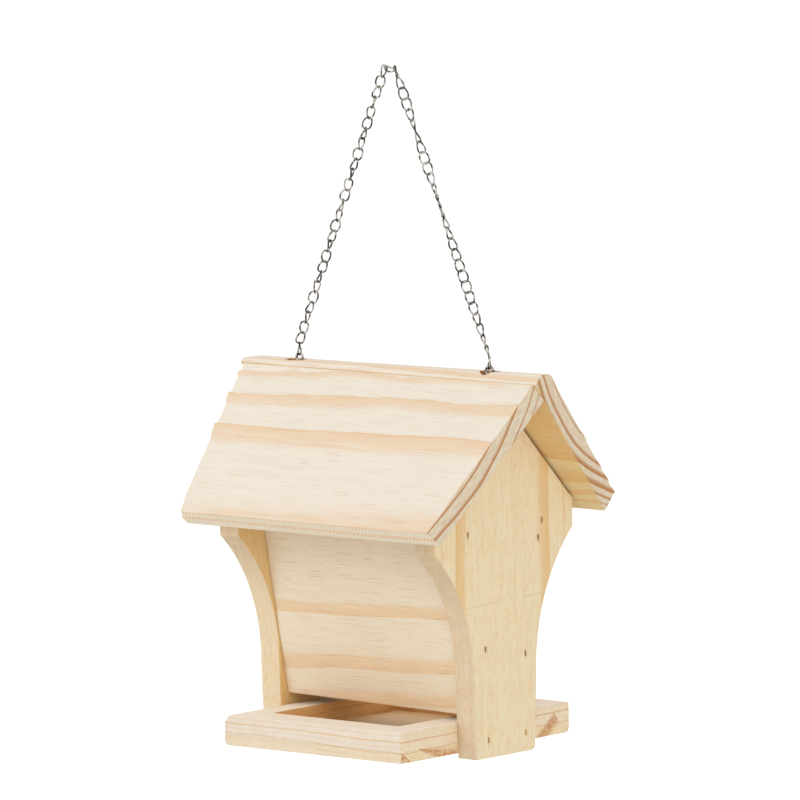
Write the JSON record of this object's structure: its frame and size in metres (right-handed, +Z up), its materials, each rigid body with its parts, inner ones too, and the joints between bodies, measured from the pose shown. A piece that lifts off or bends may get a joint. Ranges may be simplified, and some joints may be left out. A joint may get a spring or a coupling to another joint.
{
  "type": "hanging bird feeder",
  "caption": "Wooden hopper bird feeder with a pitched roof that lifts along its hanging chain, shaped gables and a milled seed tray",
  "frame": {"origin": "middle of the feeder on the plane of the gables' feet, midway between the gables and on their middle line", "axes": "+X along the ridge, +Y from the front to the back, +Z up"},
  "size_m": [0.1876, 0.144, 0.334],
  "materials": {
    "roof_pine": "raw sawn and brushed pine",
    "gable_pine": "raw planed pine",
    "hopper_pine": "raw planed pine",
    "tray_pine": "raw milled pine",
    "brad_steel": "dull steel wire",
    "eye_steel": "plated steel wire",
    "chain_steel": "nickel plated wire"
  },
  "bodies": {
    "house": {"gable_left": "gable_pine", "gable_right": "gable_pine", "hopper_front": "hopper_pine", "hopper_back": "hopper_pine", "tray_board": "tray_pine", "hopper_brads_left": "brad_steel", "hopper_brads_right": "brad_steel", "tray_brads_left": "brad_steel", "tray_brads_right": "brad_steel", "screw_eye_left": "eye_steel", "screw_eye_right": "eye_steel"},
    "roof": {"roof_front": "roof_pine", "roof_back": "roof_pine", "roof_brads": "brad_steel"},
    "eye_link_left": {"eye_link_left": "chain_steel"},
    "eye_link_right": {"eye_link_right": "chain_steel"},
    "strand_left_lower": {"chain_left_lower": "chain_steel"},
    "strand_left_upper": {"chain_left_upper": "chain_steel"},
    "strand_right_lower": {"chain_right_lower": "chain_steel"},
    "strand_right_upper": {"chain_right_upper": "chain_steel"},
    "top_link": {"top_link": "chain_steel"}
  },
  "joints": [
    {"name": "roof_lift", "type": "slide", "parent": "house", "child": "roof", "axis": [0, 0, 1], "range_m": [0, 0.055], "deforming": ["chain_left_lower", "chain_right_lower"]},
    {"name": "chain_fold", "type": "hinge", "parent": "house", "child": "eye_link_left", "pos_m": [-0.0603, 0, 0.18935], "axis": [1, 0, 0], "range_deg": [-75, 75]},
    {"name": "right_chain_fold", "type": "hinge", "parent": "house", "child": "eye_link_right", "pos_m": [0.0603, 0, 0.18935], "axis": [1, 0, 0], "range_deg": [-75, 75]},
    {"name": "left_lower_swing", "type": "hinge", "parent": "eye_link_left", "child": "strand_left_lower", "pos_m": [-0.0603, 0, 0.19471], "axis": [0, 1, 0], "range_deg": [-22.5, 0]},
    {"name": "left_upper_swing", "type": "hinge", "parent": "strand_left_lower", "child": "strand_left_upper", "pos_m": [-0.04117, 0, 0.24095], "axis": [0, 1, 0], "range_deg": [0, 35.15]},
    {"name": "top_link_swing", "type": "hinge", "parent": "strand_left_upper", "child": "top_link", "pos_m": [-0.00328, 0, 0.3325], "axis": [0, 1, 0], "range_deg": [-12.67, 0]},
    {"name": "right_lower_swing", "type": "hinge", "parent": "eye_link_right", "child": "strand_right_lower", "pos_m": [0.0603, 0, 0.19471], "axis": [0, 1, 0], "range_deg": [0, 22.5]},
    {"name": "right_upper_swing", "type": "hinge", "parent": "strand_right_lower", "child": "strand_right_upper", "pos_m": [0.04117, 0, 0.24095], "axis": [0, 1, 0], "range_deg": [-35.15, 0]}
  ],
  "couplings": [
    {"joint": "right_chain_fold", "follows": "chain_fold", "ratio": 1},
    {"joint": "left_lower_swing", "follows": "roof_lift", "rad_per_m": -7.1339},
    {"joint": "left_upper_swing", "follows": "roof_lift", "rad_per_m": 11.149},
    {"joint": "top_link_swing", "follows": "roof_lift", "rad_per_m": -4.0153},
    {"joint": "right_lower_swing", "follows": "roof_lift", "rad_per_m": 7.1339},
    {"joint": "right_upper_swing", "follows": "roof_lift", "rad_per_m": -11.149}
  ]
}
